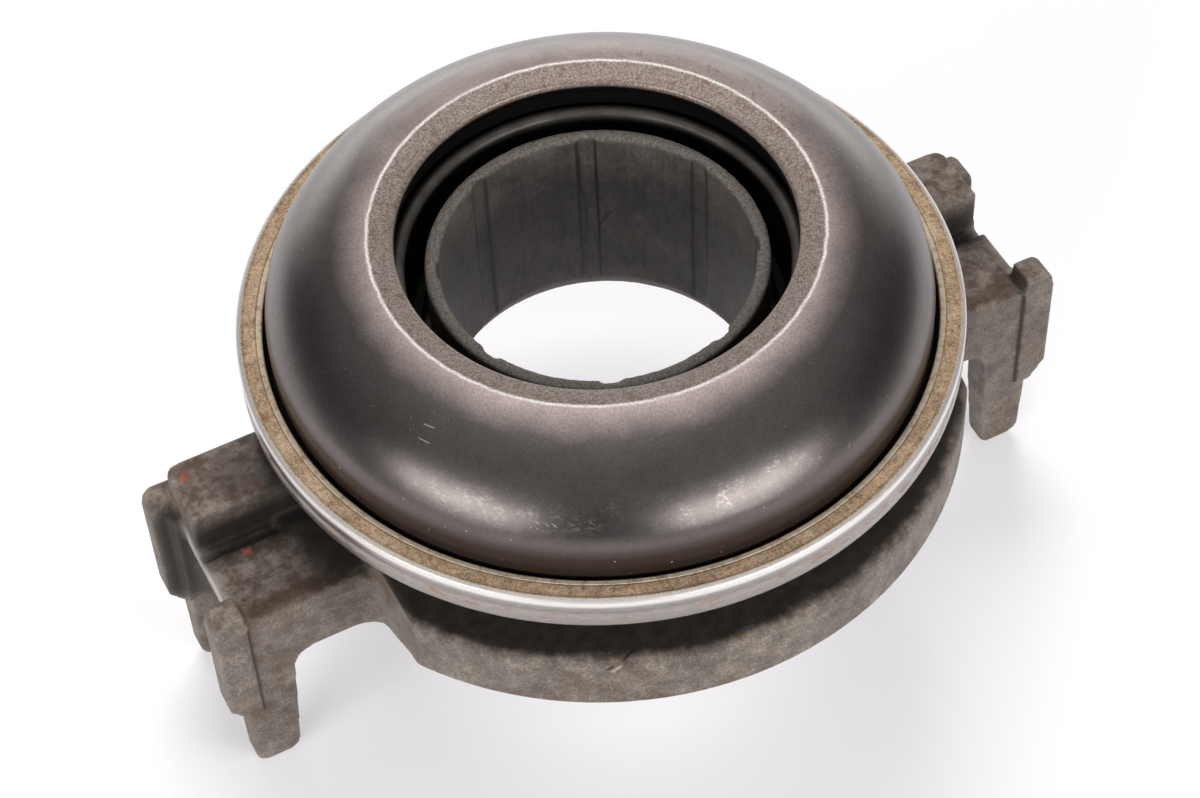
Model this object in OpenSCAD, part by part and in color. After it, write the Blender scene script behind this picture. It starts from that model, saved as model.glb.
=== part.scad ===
// Clutch release bearing: a self-centring thrust ball bearing clipped to a moulded guide sleeve.
// Millimetres. The origin is on the bore axis at the leg tips, +Z points at the clutch, X runs through the ears.

/* [Guide sleeve] */
// Radius of the bore that slides on the gearbox guide tube
bore_r = 15.6; // [13:0.1:20]
// Wall of the sleeve tube
tube_wall = 1.45; // [1.1:0.05:2.4]
// Height of the tube's end above the cover's top face
tube_stand = 7; // [4:0.1:9]
// Height of the lead-in cone at the lower end of the bore
lead_h = 2.35; // [1:0.05:3.2]
// Widening of the bore across the lead-in cone
lead_w = 1.2; // [0.5:0.1:2]
// Number of grease grooves along the bore
groove_count = 8; // [4:1:10]
// Width of a grease groove
groove_w = 2; // [1:0.1:2.4]
// Depth of a grease groove
groove_d = 0.35; // [0.2:0.05:0.6]

/* [Flange] */
// Height of the flange at its skirt
flange_h = 7.4; // [6:0.1:10]
// How far the flange stands out past the cover
flange_step = 0.7; // [0.3:0.1:3]
// Thickness of the flange plate above the cored underside
flange_plate = 4; // [3:0.1:5]
// Thickness of the flange skirt
skirt_w = 2.8; // [2:0.1:4]
// Bevel on the flange's outer edges
flange_bevel = 0.6; // [0.2:0.1:1]
// Wall of the boss round the lower end of the bore
boss_wall = 3.9; // [3:0.1:6]
// Number of ribs under the flange
rib_count = 12; // [6:2:16]
// Thickness of a rib
rib_w = 2.4; // [1.6:0.1:3]
// Height of the raised seat under the centring spring
seat_h = 3.9; // [3:0.1:5]
// Width of the seat outside the spring
seat_margin = 2; // [0.5:0.1:3]

/* [Ears] */
// Height of the flange underside above the leg tips
leg_reach = 22.5; // [18:0.1:28]
// Depth of the flat that each ear grows from, measured from the flange's rim
chord_cut = 6.2; // [4:0.1:8]
// Width of an ear
ear_w = 18.5; // [16:0.1:22]
// How far the middle of an ear lies towards +Y from the bore axis
ear_shift = -0.75; // [-1.5:0.05:1.5]
// Reach of an ear past its flat
arm_reach = 14.3; // [11:0.1:18]
// Drop from the flange top to the ear's deck
deck_drop = 4.2; // [2.5:0.1:4.4]
// Thickness of the deck
deck_t = 3; // [2:0.1:4]
// Drop from the flange top to the raised block on the deck, less than nothing where it stands higher
block_drop = -0.3; // [-1:0.1:1.8]
// Width of the raised block
block_w = 7.6; // [5:0.1:9]
// How far the block stops short of the deck's end
block_short = 0.1; // [0:0.1:3]
// Radius of the block's outer corner
block_round = 1.5; // [0.5:0.1:3]
// Thickness of the ear's side walls and legs
side_t = 3.4; // [2.8:0.1:4.2]
// How far the side walls hang below the flange underside
arm_depth = 4.7; // [3:0.1:7]
// Radius of the corner between a side wall's lower edge and its leg
arch_r = 2.4; // [1:0.1:4]
// Radius of the corner between an ear and its flat
root_r = 2.5; // [1:0.1:4]
// Width of a leg at its root
leg_w = 5.8; // [5:0.1:6.8]
// How far the legs stand out past the deck
leg_out = 0.9; // [0.5:0.1:2]
// Width of a leg at its rounded tip
tip_w = 5; // [3:0.1:5]
// Thickness of a leg at its rounded tip
tip_t = 2.4; // [1.6:0.1:2.8]
// Thickness of the web along each flat
web_t = 2.4; // [1.8:0.1:4]
// Width of a guide pad
pad_w = 3.1; // [2.4:0.1:4]
// Length of a guide pad along the ear
pad_l = 3.4; // [2.4:0.1:4.4]
// How far a pad stands out past its leg
pad_out = 1.8; // [0.8:0.1:2.4]
// How far a pad stands out to the side
pad_side = 0.5; // [0.2:0.1:1]
// Height of a pad's foot above the leg tip
pad_foot = 10.6; // [8:0.1:14]
// Height of a pad's top above the deck
pad_rise = 2; // [0.5:0.1:3.5]
// Radius of a pad's upper outer corner
pad_round = 1.8; // [0.5:0.1:2.2]
// Height of the slanted end under a pad
pad_slant = 2.4; // [1:0.1:6]
// Width of the pocket beside the block
pocket_w = 1.7; // [1:0.1:5]
// Length of the pocket
pocket_l = 8.3; // [5:0.1:11]
// Depth of the pocket
pocket_d = 1.2; // [0.4:0.1:1.5]

/* [Centring] */
// Free gap round the sleeve that lets the bearing centre itself
centring_gap = 0.83; // [0.7:0.01:1.5]
// How far a snap lug reaches over the ring's base
lug_hold = 0.35; // [0.2:0.05:0.8]
// Width of a snap lug
lug_w = 4.2; // [3:0.1:6]
// Height of a snap lug's ramp
lug_h = 4.7; // [2:0.1:5.5]
// Play between a lug and the ring's base
lug_play = 0.15; // [0.05:0.05:0.3]
// Height of the waved spring washer
spring_h = 1.9; // [1.4:0.1:3]
// Thickness of the spring's strip
spring_t = 0.5; // [0.3:0.1:0.8]
// Width of the spring's strip
spring_w = 9; // [5:0.1:10]
// How far the spring's inner edge lies outside the ring's tube
spring_inset = 1.4; // [0.5:0.1:3]
// Number of waves round the spring
spring_waves = 3; // [2:1:5]
// Play above and below the spring
spring_play = 0.05; // [0.02:0.01:0.1]

/* [Inner ring] */
// Thickness of the base
base_t = 1.6; // [1.2:0.1:3]
// Wall of the tube
ring_wall = 1.5; // [1:0.1:2.5]
// Height of the tube's rolled end above the cover's top face
ring_stand = 7.2; // [6:0.1:7.8]
// Width of the shoulder between the tube and the balls
shoulder_w = 1.77; // [1.5:0.01:3]
// Steel under the deepest point of the ball track
race_floor = 1.25; // [0.8:0.05:3]

/* [Balls and cage] */
// Diameter of a ball
ball_d = 7.94; // [7:0.01:9]
// Number of balls
ball_count = 16; // [10:1:16]
// Play between a ball and its tracks
race_play = 0.08; // [0.02:0.01:0.15]
// Play between a ball and its cage pocket
pocket_play = 0.12; // [0.05:0.01:0.2]
// Thickness of the cage
cage_t = 2.2; // [1.4:0.1:2.6]
// Width of the cage's rims outside the pockets
cage_rim = 1; // [0.6:0.1:1.3]

/* [Contact ring] */
// Thickness of the sheet
dome_t = 2.2; // [1.6:0.1:2.6]
// How far the crown's arc centre lies inside the ball circle
crown_in = 5.8; // [5:0.1:7]
// How far the crown's arc centre lies below the ball centres
crown_drop = 5.7; // [5:0.1:6.5]
// Steel left behind the ball track
groove_wall = 1.62; // [1.2:0.01:2]
// Gap between the balls and the ring's wall
wall_gap = 0.83; // [0.6:0.01:1.5]
// Radius of the shoulder between the crown and the wall
blend_r = 6; // [3:0.1:8]
// How far the hole's edge lies outside the inner ring's tube
hole_over = 0.74; // [0.2:0.01:1.4]
// Width of the worn face between the hole and the contact line
crest_w = 2.56; // [1.5:0.01:4]
// Fall of the worn face from the contact line to the hole
crest_fall = 0.57; // [0.2:0.01:1]
// Gap between the ring's lower edge and the inner ring's base
dome_lift = 0.5; // [0.3:0.05:1]

/* [Cover and seals] */
// Thickness of the cover's sheet
cover_t = 1.2; // [0.8:0.1:2]
// Play between the cover and the base it is crimped round
cover_play = 0.3; // [0.2:0.05:0.4]
// Gap between the contact ring and the cover
cover_gap = 0.54; // [0.4:0.01:1]
// Width of the cover's top face and rim
cover_w = 2.66; // [2.2:0.01:4]
// Thickness of the cover's turned-in edge
crimp_t = 0.7; // [0.4:0.1:1]
// How far the turned-in edge reaches under the base
crimp_w = 0.8; // [0.4:0.1:2]
// Radius of the cover's rolled corner
bead_r = 0.8; // [0.3:0.1:1.1]
// Depth of the crease round the cover's side
crease_d = 0.15; // [0.05:0.05:0.3]
// Thickness of the rear seal
seal_t = 0.6; // [0.4:0.1:1]
// Running gap at the seal lips
seal_run = 0.15; // [0.1:0.05:0.3]
// Thickness of the front seal's lip
lip_t = 0.6; // [0.4:0.1:0.8]
// Height of the front seal's lip
lip_h = 2.2; // [1:0.1:2.6]
// Width of the front seal outside its lip
seal_w = 1.6; // [1:0.1:2]
// Clearance between pieces that seat in each other
fit_gap = 0.05; // [0.02:0.01:0.1]

/* [Hidden] */
$fn = 96;
over = 1;
function ball_name(i) = str("ball_", i < 10 ? "0" : "", i);

// Heights, stacked from the leg tips up
z_flange_low = leg_reach;
z_flange_top = z_flange_low + flange_h;
z_seat = z_flange_top + seat_h;
z_base = z_seat + spring_h + 2 * spring_play;
z_base_top = z_base + base_t;
z_cover_in = z_base_top + seal_t;
z_rim = z_cover_in + cover_t;
z_tube_top = z_rim + tube_stand;
z_ring_top = z_rim + ring_stand;
z_lug = z_base_top + lug_play;

// Radii, stacked from the bore out
tube_r = bore_r + tube_wall;
base_in_r = tube_r + centring_gap;
lug_tip_r = base_in_r + lug_hold;
ring_in_r = lug_tip_r + centring_gap;
ring_out_r = ring_in_r + ring_wall;
ball_r = ball_d / 2;
race_r = ball_r + race_play;
pitch_r = ring_out_r + shoulder_w + ball_r;
ball_z = z_base_top + race_floor + race_r;

// Crown of the contact ring, an arc that backs the ball track
crown_x = pitch_r - crown_in;
crown_z = ball_z - crown_drop;
crown_r = norm([crown_in, crown_drop]) + race_r + groove_wall;
dome_r = pitch_r + ball_r + wall_gap + dome_t;
blend_x = dome_r - blend_r;
blend_z = crown_z + sqrt(pow(crown_r - blend_r, 2) - pow(blend_x - crown_x, 2));
blend_out = crown_r / (crown_r - blend_r);
hole_r = ring_in_r + hole_over;
crest_r = hole_r + crest_w;
crest_z = crown_z + sqrt(pow(crown_r, 2) - pow(crest_r - crown_x, 2));

cover_hole_r = dome_r + cover_gap;
cover_r = cover_hole_r + cover_w;
base_out_r = cover_r - cover_t - cover_play;
flange_r = cover_r + flange_step;
spring_in_r = ring_in_r + spring_inset;
spring_out_r = spring_in_r + spring_w;
seat_r = spring_out_r + seat_margin;

// Ears, from the flat outwards
chord_x = flange_r - chord_cut;
chord_y = sqrt(pow(flange_r, 2) - pow(chord_x, 2));
y_near = ear_shift - ear_w / 2;
y_far = ear_shift + ear_w / 2;
ear_x = chord_x + arm_reach;
leg_x1 = ear_x + leg_out;
leg_x0 = leg_x1 - leg_w;
z_arm_low = z_flange_low - arm_depth;
z_deck = z_flange_top - deck_drop;
z_block = z_flange_top - block_drop;
block_y = y_far - block_w;
pad_x1 = leg_x1 + pad_out;

// Rectangle of a turned section, from radius r0 to r1 and from height z0 to z1
module section(r0, r1, z0, z1) {
    translate([r0, z0]) square([r1 - r0, z1 - z0]);
}

// Rectangle whose corners at its high x are rounded
module nosed(x0, x1, y0, y1, r) {
    difference() {
        section(x0, x1, y0, y1);
        translate([x1, y1]) rotate(180) corner(r);
        translate([x1, y0]) mirror([1, 0]) corner(r);
    }
}

// Concave corner of radius r, filling the quarter x > 0, y > 0
module corner(r) {
    difference() {
        translate([-over, -over]) square(r + over);
        translate([r, r]) circle(r);
    }
}

// Moulded flange: bevelled disc between two flats, cored from below between ribs
module flange() {
    core_r = flange_r - skirt_w;
    difference() {
        intersection() {
            rotate_extrude() polygon([
                [0, z_flange_low],
                [flange_r - flange_bevel, z_flange_low],
                [flange_r, z_flange_low + flange_bevel],
                [flange_r, z_flange_top - flange_bevel],
                [flange_r - flange_bevel, z_flange_top],
                [0, z_flange_top]]);
            translate([-chord_x, -flange_r - over, 0])
                cube([2 * chord_x, 2 * (flange_r + over), z_flange_top + over]);
        }
        translate([0, 0, z_flange_low - over])
            linear_extrude(flange_h - flange_plate + over) difference() {
                intersection() {
                    circle(core_r);
                    square([2 * (chord_x - web_t), 2 * core_r], center = true);
                }
                circle(bore_r + boss_wall);
                for (i = [0:rib_count - 1]) rotate((i + 0.5) * 360 / rib_count)
                    translate([0, -rib_w / 2]) square([flange_r, rib_w]);
            }
    }
}

// Side wall of an ear with its leg, seen from the side
module side_profile() {
    section(chord_x - web_t, ear_x, z_arm_low, z_deck);
    translate([leg_x0, z_arm_low]) mirror([1, 0]) mirror([0, 1]) corner(arch_r);
    translate([leg_x1 - tip_w / 2, tip_w / 2]) circle(tip_w / 2);
    polygon([
        [leg_x1 - tip_w, tip_w / 2],
        [leg_x1, tip_w / 2],
        [leg_x1, z_deck],
        [leg_x0, z_deck],
        [leg_x0, z_arm_low - arch_r]]);
}

// Leg and side wall, seen from the end: tapered below the pad to a rounded tip
module end_profile() {
    thin = (side_t - tip_t) / 2;
    translate([side_t / 2, tip_t / 2]) circle(tip_t / 2);
    polygon([
        [0, z_deck + over],
        [0, pad_foot],
        [thin, tip_t / 2],
        [side_t - thin, tip_t / 2],
        [side_t, pad_foot],
        [side_t, z_deck + over]]);
}

// Side wall with its leg, from y to y + side_t
module side_wall(y) {
    intersection() {
        translate([0, y + side_t + over, 0]) rotate([90, 0, 0])
            linear_extrude(side_t + 2 * over) side_profile();
        translate([chord_x - web_t - over, y, 0]) rotate([90, 0, 90])
            linear_extrude(leg_x1 - chord_x + web_t + 2 * over) end_profile();
    }
}

// Guide pad, seen from the side: rounded above, slanted below
module pad_profile() {
    z_top = z_deck + pad_rise;
    polygon([
        [pad_x1 - pad_l, pad_foot],
        [leg_x1, pad_foot],
        [pad_x1, pad_foot + pad_slant],
        [pad_x1, z_top - pad_round],
        [pad_x1 - pad_round, z_top],
        [pad_x1 - pad_l, z_top]]);
    translate([pad_x1 - pad_round, z_top - pad_round]) circle(pad_round);
}

// Deck of an ear with the pocket beside its raised block
module deck() {
    difference() {
        translate([chord_x - web_t, y_near, z_deck - deck_t])
            cube([ear_x - chord_x + web_t, ear_w, deck_t]);
        translate([ear_x - pocket_l, block_y - pocket_w, z_deck - pocket_d])
            cube([pocket_l + over, pocket_w, pocket_d + over]);
    }
    translate([0, 0, z_deck - deck_t]) linear_extrude(z_block - z_deck + deck_t) {
        section(chord_x - web_t, ear_x - block_short - block_round, block_y, y_far);
        section(chord_x - web_t, ear_x - block_short, block_y, y_far - block_round);
        translate([ear_x - block_short - block_round, y_far - block_round]) circle(block_round);
    }
}

// Slab along the flat from x0 to x1, deepest between the ear's side walls
module web(x0, x1) {
    y_end = chord_y - flange_bevel;
    translate([x0, 0, 0]) rotate([90, 0, 90]) linear_extrude(x1 - x0) polygon([
        [-y_end, z_flange_low + flange_bevel],
        [y_near, z_arm_low],
        [y_far, z_arm_low],
        [y_end, z_flange_low + flange_bevel],
        [y_end, z_deck],
        [-y_end, z_deck]]);
}

// One ear, on the +X side: walls, legs, pads, deck and web
module ear() {
    for (y = [y_near, y_far - side_t]) side_wall(y);
    for (y = [y_near - pad_side + pad_w, y_far + pad_side]) translate([0, y, 0])
        rotate([90, 0, 0]) linear_extrude(pad_w) pad_profile();
    intersection() {
        web(chord_x - web_t / 2, chord_x + root_r + over);
        translate([0, 0, z_arm_low - over]) linear_extrude(z_deck - z_arm_low + 2 * over) {
            translate([chord_x, y_far]) corner(root_r);
            translate([chord_x, y_near]) mirror([0, 1]) corner(root_r);
        }
    }
    deck();
    web(chord_x - web_t, chord_x);
}

// Snap lug that holds the bearing down on its spring, on the +X side
module snap_lug() {
    translate([0, lug_w / 2, 0]) rotate([90, 0, 0]) linear_extrude(lug_w) polygon([
        [bore_r + groove_d, z_lug],
        [lug_tip_r, z_lug],
        [lug_tip_r, z_lug + lug_hold],
        [tube_r, z_lug + lug_h],
        [bore_r + groove_d, z_lug + lug_h]]);
}

module carrier_sleeve() {
    bore_low = z_flange_low + lead_h;
    color("#4d4a46") difference() {
        union() {
            flange();
            rotate_extrude() {
                section(0, seat_r, z_flange_top - over, z_seat);
                section(0, tube_r, z_flange_low, z_tube_top);
            }
            for (side = [0, 1]) mirror([side, 0, 0]) {
                ear();
                snap_lug();
            }
        }
        translate([0, 0, bore_low - over]) cylinder(r = bore_r, h = z_tube_top - bore_low + 2 * over);
        translate([0, 0, z_flange_low - over])
            cylinder(r1 = bore_r + lead_w * (1 + over / lead_h), r2 = bore_r, h = lead_h + over);
        for (i = [0:groove_count - 1]) rotate((i + 0.5) * 360 / groove_count)
            translate([bore_r - over, -groove_w / 2, z_flange_low - over])
                cube([over + groove_d, groove_w, z_tube_top - z_flange_low + 2 * over]);
    }
}

// Waved spring washer that presses the ring's base against the lugs
module centring_spring() {
    steps = 72;
    low = [for (i = [0:steps - 1])
        z_seat + spring_play + (spring_h - spring_t) * (1 + cos(spring_waves * i * 360 / steps)) / 2];
    function at(i, r, z) = [r * cos(i * 360 / steps), r * sin(i * 360 / steps), z];
    points = [for (i = [0:steps - 1]) each [
        at(i, spring_in_r, low[i]),
        at(i, spring_out_r, low[i]),
        at(i, spring_out_r, low[i] + spring_t),
        at(i, spring_in_r, low[i] + spring_t)]];
    faces = [for (i = [0:steps - 1], k = [0:3])
        let (a = 4 * i, b = 4 * ((i + 1) % steps), n = (k + 1) % 4)
        each [[a + k, a + n, b + n], [a + k, b + n, b + k]]];
    color("#8d9094") polyhedron(points, faces);
}

// Stationary ring: base, tube with a rolled end, and the shoulder that carries the ball track
module inner_ring() {
    roll_r = ring_wall / 2;
    color("#6d6c6a") rotate_extrude() difference() {
        union() {
            section(base_in_r, base_out_r, z_base, z_base_top);
            section(ring_in_r, ring_out_r, z_base, z_ring_top - roll_r);
            translate([ring_in_r + roll_r, z_ring_top - roll_r]) circle(roll_r);
            section(ring_in_r, pitch_r + race_play, z_base, ball_z - race_r / 4);
        }
        translate([pitch_r, ball_z]) circle(race_r);
    }
}

// Pressed cover: flat top face, rolled corner, creased side and an edge turned in under the base
module cover_ring() {
    z_low = z_base - crimp_t;
    z_crease = (z_low + z_rim) / 2;
    color("#b5b0a6") rotate_extrude() difference() {
        union() {
            translate([0, z_cover_in]) section(cover_hole_r, cover_r - bead_r, 0, cover_t);
            nosed(cover_r - cover_t, cover_r, z_low, z_rim, bead_r);
            section(base_out_r - crimp_w, cover_r - bead_r, z_low, z_base - fit_gap);
        }
        translate([cover_r + crease_d, z_crease]) circle(2 * crease_d);
    }
}

// Rubber washer held between the cover and the base, with its edge at the contact ring's wall
module rear_seal() {
    color("#22211f") rotate_extrude()
        section(dome_r + seal_run, base_out_r, z_base_top, z_cover_in);
}

// Inside of the contact ring's skin at a depth below its outer face
module crown_section(depth) {
    arc_r = crown_r - depth;
    difference() {
        intersection() {
            translate([crown_x, crown_z]) circle(arc_r);
            section(0, dome_r - depth, crown_z - crown_r, crown_z + crown_r);
        }
        difference() {
            polygon([
                [blend_x, blend_z],
                [crown_x + (blend_x - crown_x) * blend_out, crown_z + (blend_z - crown_z) * blend_out],
                [dome_r + over, crown_z + (blend_z - crown_z) * blend_out],
                [dome_r + over, blend_z]]);
            translate([blend_x, blend_z]) circle(blend_r - depth);
        }
    }
}

// Pressed contact ring: domed crown, worn face round the hole, ball track inside
module contact_ring() {
    z_low = z_base_top + dome_lift;
    color("#3c3a38") rotate_extrude() difference() {
        intersection() {
            difference() {
                crown_section(0);
                crown_section(dome_t);
            }
            section(hole_r, dome_r, z_low, crown_z + crown_r);
        }
        polygon([
            [crest_r, crest_z],
            [hole_r, crest_z - crest_fall],
            [hole_r - over, crest_z - crest_fall],
            [hole_r - over, crown_z + crown_r + over],
            [crest_r, crown_z + crown_r + over]]);
        translate([pitch_r, ball_z]) circle(race_r);
    }
}

// Seal under the contact ring's crown, with a lip that runs on the inner ring's tube
module front_seal() {
    lip_r = ring_out_r + seal_run + fit_gap;
    out_r = lip_r + lip_t + seal_w;
    z_top = crown_z + sqrt(pow(crown_r - dome_t, 2) - pow(out_r - crown_x, 2)) - fit_gap;
    color("#22211f") rotate_extrude() {
        section(lip_r, out_r, z_top - lip_t, z_top);
        section(lip_r, lip_r + lip_t, z_top - lip_h, z_top);
    }
}

// Conical cage: a strip square to the balls' line of load, with a pocket for each ball
module ball_cage() {
    reach = ball_r + pocket_play + cage_rim;
    color("#b59a6a") difference() {
        rotate_extrude() translate([pitch_r, ball_z]) rotate(-45)
            square([2 * reach, cage_t], center = true);
        for (i = [1:ball_count]) at_ball(i) sphere(ball_r + pocket_play);
    }
}

// Places a child at the centre of ball i
module at_ball(i) {
    rotate((i - 1) * 360 / ball_count) translate([pitch_r, 0, ball_z]) children();
}

module ball(i) {
    color("#c9ccd0") at_ball(i) sphere(ball_r);
}

carrier_sleeve();
centring_spring();
inner_ring();
cover_ring();
rear_seal();
contact_ring();
front_seal();
ball_cage();
for (i = [1:ball_count])
    ball(i);
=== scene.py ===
# Clutch release bearing: turned and pressed rings on a moulded nylon carrier, on a white studio floor.
import math

import bpy
from mathutils import Matrix, Vector


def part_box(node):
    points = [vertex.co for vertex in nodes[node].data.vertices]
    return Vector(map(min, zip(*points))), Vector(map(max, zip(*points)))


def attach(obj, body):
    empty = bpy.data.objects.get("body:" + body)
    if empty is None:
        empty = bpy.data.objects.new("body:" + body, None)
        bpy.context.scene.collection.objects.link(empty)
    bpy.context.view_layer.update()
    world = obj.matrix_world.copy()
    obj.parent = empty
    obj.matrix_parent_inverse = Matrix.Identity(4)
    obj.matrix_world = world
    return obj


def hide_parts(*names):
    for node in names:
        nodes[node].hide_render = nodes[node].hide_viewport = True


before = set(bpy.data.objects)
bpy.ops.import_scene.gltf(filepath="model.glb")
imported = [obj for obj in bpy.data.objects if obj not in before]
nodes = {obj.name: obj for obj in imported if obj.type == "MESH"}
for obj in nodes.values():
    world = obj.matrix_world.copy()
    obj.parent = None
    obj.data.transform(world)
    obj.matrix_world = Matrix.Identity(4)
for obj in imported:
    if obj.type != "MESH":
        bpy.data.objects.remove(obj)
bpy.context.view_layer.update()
bpy.ops.object.select_all(action="DESELECT")

MM = 0.001
# Heights of the turned pieces are measured from the cover's top face, in millimetres
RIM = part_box("cover_ring")[1].z / MM

# Section of the contact ring and of the ball track, as (radius, height)
BALL = (26.3, 3.5)
TRACK_R = 4.05
CROWN = (20.5, -2.2)
CROWN_R = 13.8
SHEET = 2.2
BLEND = (27.3, 1.625)
BLEND_R = 6.0
DOME_R = 33.3
DOME_LOW = -1.3
LINE_R = 22.36
LINE_TOP = 11.47
HOLE_R = 19.8
HOLE_TOP = 10.9
HOLE_LOW = 9.38

# Section of the cover ring, with the line scored in its flat face
COVER_HOLE_R = 33.84
COVER_R = 36.5
COVER_LOW = -4.1
COVER_SHEET = 1.2
FACE = -0.12
SCORE_R = 34.47
SCORE_DEPTH = 0.06
CREASE = -2.1
CREASE_DEPTH = 0.12
CRIMP_R = 34.2
CRIMP_TOP = -3.45

# Section of the inner ring
BASE_IN_R = 17.88
BASE_OUT_R = 35.0
BASE_LOW = -3.4
BASE_TOP = -1.8
RING_IN_R = 19.06
RING_OUT_R = 20.56
RING_TOP = 7.2
TRACK_TOP = 2.4875
TRACK_OUT_R = 26.38

# Round walls of the carrier, from the bore outwards, and its tops
BORE_R = 15.6
TUBE_R = 17.05
BOSS_R = 19.5
SEAT_R = 31.46
SKIRT_IN_R = 34.4
FLANGE_R = 37.2
TUBE_TOP = 7.0
FLANGE_TOP = -9.3

# Marks of use, and painted shade, as places in millimetres with heights from the cover's top face
SCRATCHES = (
    ((-24.59, -12.78, 9.56), (-23.98, -13.69, 9.62)),
    ((-25.5, -13.48, 8.79), (-24.93, -14.47, 8.8)),
    ((-19.6, -24.9, 6.05), (-19.2, -25.5, 5.6)),
    ((-18.9, -25.5, 5.95), (-18.5, -26.1, 5.5)),
    ((-18.2, -26.1, 5.8), (-17.9, -26.5, 5.45)),
)
CRACKS = (
    ((2.1, 15.45, -3.3), (3.2, 15.26, -4.9), (3.4, 15.2, -7.2)),
    ((8.0, 13.4, -4.0), (6.9, 14.0, -6.2), (6.8, 14.3, -9.1)),
    ((5.4, 15.03, 4.2), (5.4, 15.03, 0.1), (5.85, 14.84, -3.3), (5.8, 14.85, -7.1), (5.5, 15.0, -9.3)),
    ((-16.64, -33.27, -10.3), (-15.6, -33.77, -9.35), (-13.5, -33.0, -9.3)),
)
# Strips on the right ear, and mirrored on the left, some of caked dirt, some of painted shade, some painted
# paler:
# start, end, half width, share, colour
EAR_STRIPS = (
    # The deck's outer end, painted paler
    ((45.4, -6.6, -14.6), (45.4, 4.0, -14.6), 1.7, 0.75, "#a19b93"),
    ((34.0, 0.3, -12.6), (44.4, 0.3, -12.6), 3.5, 0.95, "#1a1511"),
    # Painted shade on the far pad's inner face
    ((46.3, 5.4, -14.0), (46.3, 5.4, -25.0), 2.8, 0.9, "#1b1613"),
    # A thin dark line down the step beside the near pad
    ((44.6, -10.1, -14.0), (44.6, -10.1, -28.2), 0.4, 0.95, "#110d0a"),
    ((35.5, -8.4, -13.4), (43.4, -8.8, -13.4), 1.4, 0.65, "#3f2a1c"),
)
GOUGE_LIP = ((-16.2, -33.5, -10.6), (-15.0, -34.05, -9.4))
# Spots: centre, size, share, colour
SPOTS = (
    ((-43.71, 6.36, -9.0), 0.75, 0.8, "#98523a"),
    ((-40.91, -1.73, -13.5), 0.7, 0.8, "#98523a"),
    ((-39.5, 4.5, -9.0), 4.2, 0.5, "#33281f"),
    ((-43.2, 7.3, -9.3), 1.6, 0.5, "#5a3427"),
    ((-38.0, 2.2, -9.0), 1.3, 0.5, "#50332a"),
)


# Modelling

def arc(centre, radius, start, end, count):
    """Points along an arc in the turning plane, angles in degrees."""
    steps = [math.radians(start + (end - start) * i / count) for i in range(count + 1)]
    return [(centre[0] + radius * math.cos(a), centre[1] + radius * math.sin(a)) for a in steps]


def eased(corners, count=5):
    """Outline with rounded corners; a corner is (radius from the axis, height, size of the rounding)."""
    outline = []
    for i, corner in enumerate(corners):
        here = Vector(corner[:2])
        if len(corner) == 2:
            outline.append(here)
            continue
        before = (Vector(corners[i - 1][:2]) - here).normalized()
        after = (Vector(corners[(i + 1) % len(corners)][:2]) - here).normalized()
        half = before.angle(after) / 2
        set_back = corner[2] / math.tan(half)
        centre = here + (before + after).normalized() * corner[2] / math.sin(half)
        first = here + before * set_back - centre
        last = here + after * set_back - centre
        for k in range(count + 1):
            outline.append(centre + first.slerp(last, k / count) * corner[2])
    return outline


def turn(name, outline, steps):
    """Draws a closed outline edge by edge in the XZ plane and spins it round the bore axis."""
    points = [Vector((x, 0, RIM + z)) * MM for x, z in outline]
    bpy.ops.object.select_all(action="DESELECT")
    bpy.ops.mesh.primitive_plane_add(size=MM)
    obj = bpy.context.object
    obj.name = obj.data.name = name
    bpy.ops.object.mode_set(mode="EDIT")
    bpy.ops.mesh.merge(type="CENTER")
    bpy.ops.transform.translate(value=points[0])
    for here, there in zip(points, points[1:] + points[:1]):
        bpy.ops.mesh.extrude_vertices_move(TRANSFORM_OT_translate={"value": there - here})
    bpy.ops.mesh.select_all(action="SELECT")
    bpy.ops.mesh.spin(steps=steps, angle=2 * math.pi, center=(0, 0, 0), axis=(0, 0, 1))
    bpy.ops.mesh.select_all(action="SELECT")
    bpy.ops.mesh.remove_doubles(threshold=0.002 * MM)
    bpy.ops.mesh.normals_make_consistent(inside=False)
    bpy.ops.object.mode_set(mode="OBJECT")
    bpy.ops.object.shade_smooth_by_angle(angle=math.radians(40))
    return obj


def fit(obj, body, material, replaced):
    """Gives a finished piece its finish and its body, and hides the CAD node it stands for."""
    obj.data.materials.clear()
    obj.data.materials.append(material)
    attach(obj, body)
    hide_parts(replaced)


# Finishes

def colour(hex_code):
    """Linear colour of an sRGB hex value."""
    parts = [int(hex_code[i:i + 2], 16) / 255 for i in (1, 3, 5)]
    return (*[c / 12.92 if c <= 0.04045 else ((c + 0.055) / 1.055) ** 2.4 for c in parts], 1)


def add(tree, kind, inputs=None, **settings):
    """Adds a node; an input is a value, a socket, or a node that is read at its first live output."""
    node = tree.nodes.new("ShaderNode" + kind)
    for key, value in settings.items():
        setattr(node, key, value)
    for key, value in (inputs or {}).items():
        named = [s for s in node.inputs if s.enabled and s.name == key]
        socket = named[0] if named else node.inputs[key]
        if isinstance(value, bpy.types.Node):
            value = next(s for s in value.outputs if s.enabled)
        if isinstance(value, bpy.types.NodeSocket):
            tree.links.new(value, socket)
        else:
            socket.default_value = value
    return node


def begin(name):
    """Starts a material; gives its tree and the place in millimetres, with heights from the cover's top."""
    material = bpy.data.materials.new(name)
    material.use_nodes = True
    t = material.node_tree
    t.nodes.clear()
    place = add(t, "TexCoord").outputs["Object"]
    mm = add(t, "Mapping", {"Vector": place, "Location": (0, 0, -RIM), "Scale": (1 / MM, 1 / MM, 1 / MM)})
    return material, t, mm


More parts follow.
